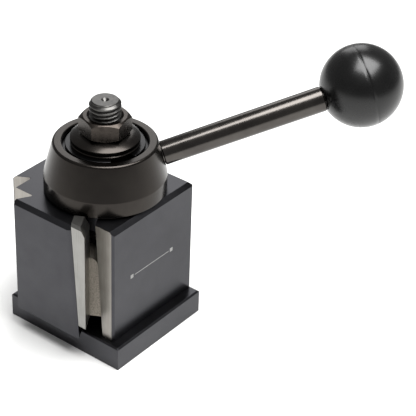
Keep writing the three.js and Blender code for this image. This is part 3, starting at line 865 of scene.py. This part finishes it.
# ------------------------------------------------------------------ lever


@dataclass(frozen=True)
class Axis:
    """A line in the frame: a start in millimetres and a unit direction."""

    start: Vector
    way: Vector

    def frame(self) -> Matrix:
        """The matrix that lays a piece made along +Z onto this line."""
        turn = self.way.to_track_quat("Z", "Y").to_matrix().to_4x4()
        return Matrix.Translation(self.start * MM) @ turn


@dataclass
class Lever:
    """The lever rod, its ball and the brass insert between them."""

    looks: Looks
    root_radius: float = 4.7
    end_radius: float = 4.9
    stub_radius: float = 3.9
    stub_length: float = 5.3
    seam_ahead: float = 1.0        # the ball's moulding seam lies this far beyond its centre
    seam_width: float = 0.25
    seam_depth: float = 0.12
    ball_flat: float = 0.8
    ball_mouth: float = 4.2        # radius of the hole in the ball's flat, and of the insert's bore
    insert_radius: float = 6.0
    stub_edge: float = 0.4         # chamfers of the rod's ends and shoulders
    shoulder_edge: float = 0.35
    end_edge: float = 0.3

    @staticmethod
    def axis() -> Axis:
        """The lever's axis: from the swing joint to the ball's centre."""
        start = Vector(joint("lever_swing")["pos_m"]) / MM
        low, high = node_box("ball_knob")
        return Axis(start, ((low + high) / 2 - start).normalized())

    def build(self) -> None:
        """Makes the rod, the ball and the insert."""
        line = self.axis()
        self.rod(line)
        self.ball(line)
        self.insert(line)

    def rod(self, line: Axis) -> None:
        """The rod: a gentle taper that swells towards the ball, with a stub at each end."""
        near, far = reach_along("lever_rod", line.start, line.way)
        ball_near = reach_along("ball_knob", line.start, line.way)[0]
        seat = near + self.stub_length
        end = ball_near - LEVER_GAP
        stub, edge, shoulder = self.stub_radius, self.stub_edge, self.shoulder_edge
        obj = Bench.turn("lever_rod_fine", [
            (0, near), (stub - edge, near), (stub, near + edge), (stub, seat),
            (self.root_radius - shoulder, seat), (self.root_radius, seat + shoulder),
            (self.end_radius, end - self.end_edge), (self.end_radius - self.end_edge, end),
            (stub, end), (stub, far - edge), (stub - edge, far), (0, far),
        ], 96)
        Bench.lay(obj, line.frame())
        Bench.smooth(obj, 35)
        Bench.coat(obj, self.looks.lever_oxide)
        Bench.hand_in(obj, "swing", "black_oxide_steel", ["lever_rod"])

    def ball(self, line: Axis) -> None:
        """The ball: a flat with a small rim where the rod enters, and a fine moulding seam."""
        near, far = reach_along("ball_knob", line.start, line.way)
        radius = (far - near + self.ball_flat) / 2
        centre = far - radius
        flat = math.degrees(math.asin((near - centre) / radius))
        seam = math.degrees(math.asin(self.seam_ahead / radius))
        half = math.degrees(self.seam_width / 2 / radius)
        seat, insert_end = reach_along("knob_insert", line.start, line.way)
        gap = LEVER_GAP
        bore, mouth = self.insert_radius + gap, self.ball_mouth
        shell = [
            *arc((0, centre), radius, flat, seam - 2.5 * half, 22),
            *arc((0, centre), radius - self.seam_depth, seam - half * 0.6, seam + half * 0.6, 1),
            *arc((0, centre), radius, seam + 2.5 * half, 90, 26),
        ]
        profile = [
            (0, insert_end + gap), (bore, insert_end + gap), (bore, seat - gap), (mouth, seat - gap),
            (mouth, near), *shell[:-1], (0, far),
        ]
        obj = Bench.turn("ball_knob_fine", profile, 128)
        Bench.lay(obj, line.frame())
        Bench.smooth(obj, 40)
        Bench.coat(obj, self.looks.phenolic)
        Bench.hand_in(obj, "swing", "black_phenolic", ["ball_knob"])

    def insert(self, line: Axis) -> None:
        """The threaded brass insert moulded into the ball."""
        near, far = reach_along("knob_insert", line.start, line.way)
        outer, inner, edge = self.insert_radius, self.ball_mouth, self.end_edge
        obj = Bench.turn("knob_insert_fine", [
            (inner, near), (outer - edge, near), (outer, near + edge), (outer, far), (inner, far)], 96)
        Bench.lay(obj, line.frame())
        Bench.smooth(obj)
        Bench.coat(obj, self.looks.brass)
        Bench.hand_in(obj, "swing", "turned_brass", ["knob_insert"])


# ------------------------------------------------------------------ clamp: stud, washer, nut


@dataclass
class ClampAssembly:
    """The stud that holds the post down, with its washer and nut."""

    looks: Looks
    pitch: float = 1.75            # M12 coarse
    thread_depth: float = 1.0
    thread_facets: int = 64        # round one turn
    stud_chamfer: float = 1.1
    drill_mouth: float = 1.5       # radius of the centre drilling in the stud's top end
    rim: float = 1.8               # straight part of the washer's outside
    rim_edge: float = 0.25
    cone_radius: float = 9.05      # where the washer's cone ends under the nut
    nut_flats: float = 17.3
    nut_edge: float = 0.14         # rounding of the hexagon's edges
    nut_crown: float = 0.95        # radius of the nut's flat top, as a share of half its width over flats
    nut_seat: float = 0.97         # the same at its foot
    nut_gap: float = 0.08          # radial, round the stud
    nut_sink: float = 0.8          # countersink at the bore's top
    washer_bore: float = 6.3

    def build(self) -> None:
        """Makes the stud, the washer and the nut."""
        self.stud()
        self.washer()
        self.nut()

    def thread(self, foot: float, top: float, radius: float) -> Object:
        """A threaded bar with flat ends, chamfered at both.

        Args:
            foot: Height of the lower end.
            top: Height of the upper end.
            radius: Radius over the crests.

        Returns:
            The new object.
        """
        root = radius - self.thread_depth
        pitch = self.pitch
        spare = 2 * pitch              # thread below the foot and above the top, cut off afterwards
        ridge = [
            (root, 0), (root, pitch / 4), (radius, pitch * 9 / 16), (radius, pitch * 11 / 16),
            (root, pitch)]
        Bench.clear()
        bpy.ops.mesh.primitive_plane_add(size=MM, location=(root * MM, 0, (foot - spare) * MM))
        obj = Bench.fresh("threaded_bar")
        bpy.ops.object.transform_apply(location=True, rotation=False, scale=False)
        bpy.ops.object.mode_set(mode="EDIT")
        bpy.ops.mesh.select_mode(type="VERT")
        bpy.ops.mesh.select_all(action="SELECT")
        bpy.ops.mesh.merge(type="CENTER")
        for (here_r, here_z), (r, z) in zip(ridge, ridge[1:]):
            bpy.ops.mesh.extrude_region_move(
                TRANSFORM_OT_translate={"value": ((r - here_r) * MM, 0, (z - here_z) * MM)})
        bpy.ops.object.mode_set(mode="OBJECT")
        screw = obj.modifiers.new("screw", "SCREW")
        screw.angle = math.tau
        screw.screw_offset = pitch * MM
        screw.iterations = math.ceil((top - foot + 2 * spare) / pitch)
        screw.steps = screw.render_steps = self.thread_facets
        screw.use_merge_vertices = True
        screw.merge_threshold = MERGE
        Bench.apply_modifiers(obj)
        bpy.ops.object.mode_set(mode="EDIT")
        bpy.ops.mesh.select_all(action="SELECT")
        bpy.ops.mesh.remove_doubles(threshold=MERGE)
        bpy.ops.mesh.select_all(action="DESELECT")
        bpy.ops.mesh.select_non_manifold()
        bpy.ops.mesh.edge_face_add()
        bpy.ops.mesh.select_all(action="SELECT")
        bpy.ops.mesh.quads_convert_to_tris()
        Bench.face_outward()
        return obj

    def stud(self) -> None:
        """The stud: threaded at the top, plain in the middle, with a centre-drilled top end."""
        foot, top = heights("stud")
        radius = radius_of("stud")
        chamfer = self.stud_chamfer
        blank = Bench.turn("stud_fine", [
            (0, foot), (radius - chamfer, foot), (radius, foot + chamfer),
            (radius, top - chamfer), (radius - chamfer, top),
            (self.drill_mouth, top), (0.5, top - 1.0), (0, top - 1.2),
        ], 96)
        Bench.join_or_cut(blank, self.thread(foot, top, radius), "INTERSECT")
        Bench.smooth(blank, 28)
        Bench.coat(blank, self.looks.stud_oxide)
        Bench.hand_in(blank, "stud", "black_oxide_steel", ["stud"])

    def washer(self) -> None:
        """The thick washer with its shallow cone."""
        foot, top = heights("clamp_washer")
        outer, edge, rim_top = radius_of("clamp_washer"), self.rim_edge, foot + self.rim
        obj = Bench.turn("clamp_washer_fine", [
            (self.washer_bore, foot), (outer - edge, foot), (outer, foot + edge), (outer, rim_top - 0.2),
            (outer - edge, rim_top + 0.04), (self.cone_radius, top), (self.washer_bore, top)], 128)
        Bench.smooth(obj)
        Bench.coat(obj, self.looks.turned_oxide)
        Bench.hand_in(obj, "clamp_washer", "black_oxide_steel", ["clamp_washer"])

    def nut(self) -> None:
        """The hexagon nut, chamfered above and below and countersunk at its bore."""
        foot, top = heights("clamp_nut")
        flats = self.nut_flats / 2
        corner = flats / math.cos(math.radians(30))
        points = [v.co / MM for v in frame["nodes"]["clamp_nut"].data.vertices]
        tip = max(points, key=lambda p: p.xy.length)
        Bench.clear()
        bpy.ops.mesh.primitive_cylinder_add(
            vertices=6, radius=corner * MM, depth=(top - foot) * MM, location=(0, 0, (foot + top) / 2 * MM),
            rotation=(0, 0, math.atan2(tip.y, tip.x) - math.pi / 2))
        obj = Bench.fresh("clamp_nut_fine")
        bpy.ops.object.transform_apply(location=True, rotation=True, scale=True)
        bore = radius_of("stud") + self.nut_gap
        crown, seat, sink = flats * self.nut_crown, flats * self.nut_seat, self.nut_sink
        bevel = (corner - crown) * math.tan(math.radians(30))
        outside = corner + 0.01        # just past the corners, so that they stay whole between the bevels
        turned = Bench.turn("nut_turning", [
            (bore, foot), (seat, foot), (outside, foot + bevel), (outside, top - bevel),
            (crown, top), (bore + sink, top), (bore, top - sink)], 96)
        Bench.join_or_cut(obj, turned, "INTERSECT")
        Bench.break_edges(obj, self.nut_edge, 2, 22, 24)
        Bench.coat(obj, self.looks.fastener_oxide)
        Bench.hand_in(obj, "clamp_nut", "black_oxide_steel", ["clamp_nut"])


# ------------------------------------------------------------------ inner pieces that keep their CAD shape


@dataclass
class InnerPieces:
    """The rotor and the pins, which hardly show and keep their CAD shape."""

    looks: Looks

    def build(self) -> None:
        """Dresses the CAD nodes."""
        self.coat("screw_rotor", self.looks.turned_oxide)
        for pin in ("sleeve_pin", "drive_pin_1", "drive_pin_2", "drive_pin_3"):
            self.coat(pin, self.looks.ground)

    @staticmethod
    def coat(node: str, look: Material) -> None:
        """Gives a CAD node one material."""
        obj = frame["nodes"][node]
        obj.data.materials.clear()
        obj.data.materials.append(look)
        log.info("%s: CAD shape, dressed", node)


# ------------------------------------------------------------------ studio


@dataclass
class Studio:
    """Pale paper floor, soft lights and the camera."""

    aim: Vector
    light_aim: Vector
    azimuth: float = 36.57         # degrees from -Y towards +X
    elevation: float = 33.07       # degrees above the floor
    roll: float = 2.29             # degrees
    distance: float = 569.4        # from the camera to its aim
    lens: float = 129.56           # focal length, on a sensor 36 mm wide
    sky_strength: float = 0.28

    def build(self) -> None:
        """Makes the floor, the lights, the sky and the camera."""
        self.floor()
        self.sky()
        self.lights()
        self.camera()

    def floor(self) -> None:
        """A wide sheet of pale paper under the post."""
        Bench.clear()
        bpy.ops.mesh.primitive_plane_add(size=8)
        obj = Bench.fresh("paper_floor")
        # Matt white paper, with no pattern that could be seen.
        paper = Grained(
            "background_paper", deep="#f2f2f1", pale="#f6f6f5", roughness=(0.9, 0.9), metallic=0,
            specular=0.2, depth=0, grain=40)
        obj.data.materials.append(paper.make())

    def sky(self) -> None:
        """Even white light from all round."""
        world = bpy.data.worlds.new("studio")
        bpy.context.scene.world = world
        world.use_nodes = True
        background = world.node_tree.nodes["Background"]
        background.inputs["Color"].default_value = linear("#ffffff")
        background.inputs["Strength"].default_value = self.sky_strength

    def lights(self) -> None:
        """Two large soft boxes, each given as a name, a place, a width and a power in watts."""
        boxes = [
            ("overhead", Vector((200, 60, 900)), 700, 16.0),
            ("back_left", Vector((-420, 560, 460)), 400, 1.1),
        ]
        for name, place, size, power in boxes:
            lamp = bpy.data.lights.new(name, "AREA")
            lamp.size = size * MM
            lamp.energy = power
            obj = bpy.data.objects.new(name, lamp)
            bpy.context.scene.collection.objects.link(obj)
            obj.location = place * MM
            obj.rotation_mode = "QUATERNION"
            obj.rotation_quaternion = (self.light_aim - place).to_track_quat("-Z", "Y")

    def camera(self) -> None:
        """The camera, level but for a slight roll."""
        a, e = math.radians(self.azimuth), math.radians(self.elevation)
        back = Vector((math.sin(a) * math.cos(e), -math.cos(a) * math.cos(e), math.sin(e)))
        data = bpy.data.cameras.new("camera")
        data.lens = self.lens
        data.sensor_width = 36
        data.clip_start = 0.02
        data.clip_end = 20
        obj = bpy.data.objects.new("camera", data)
        bpy.context.scene.collection.objects.link(obj)
        obj.location = (self.aim + back * self.distance) * MM
        level = (-back).to_track_quat("-Z", "Y").to_matrix()
        rolled = level @ Matrix.Rotation(math.radians(self.roll), 3, "Z")
        obj.rotation_mode = "QUATERNION"
        obj.rotation_quaternion = rolled.to_quaternion()
        bpy.context.scene.camera = obj
        bpy.context.scene.view_settings.view_transform = "Standard"


# ------------------------------------------------------------------ main


def main() -> None:
    """Builds the studio, then each sub-assembly of the post."""
    Studio(aim=Vector((31.3, 23.2, 51.4)), light_aim=Vector((10, 8, 40))).build()
    looks = Looks()
    BlockAssembly(looks).build()
    for side in Side:
        Gib(looks, side).build()
    HubAssembly(looks).build()
    Lever(looks).build()
    ClampAssembly(looks).build()
    InnerPieces(looks).build()


if __name__ == "__main__":
    main()
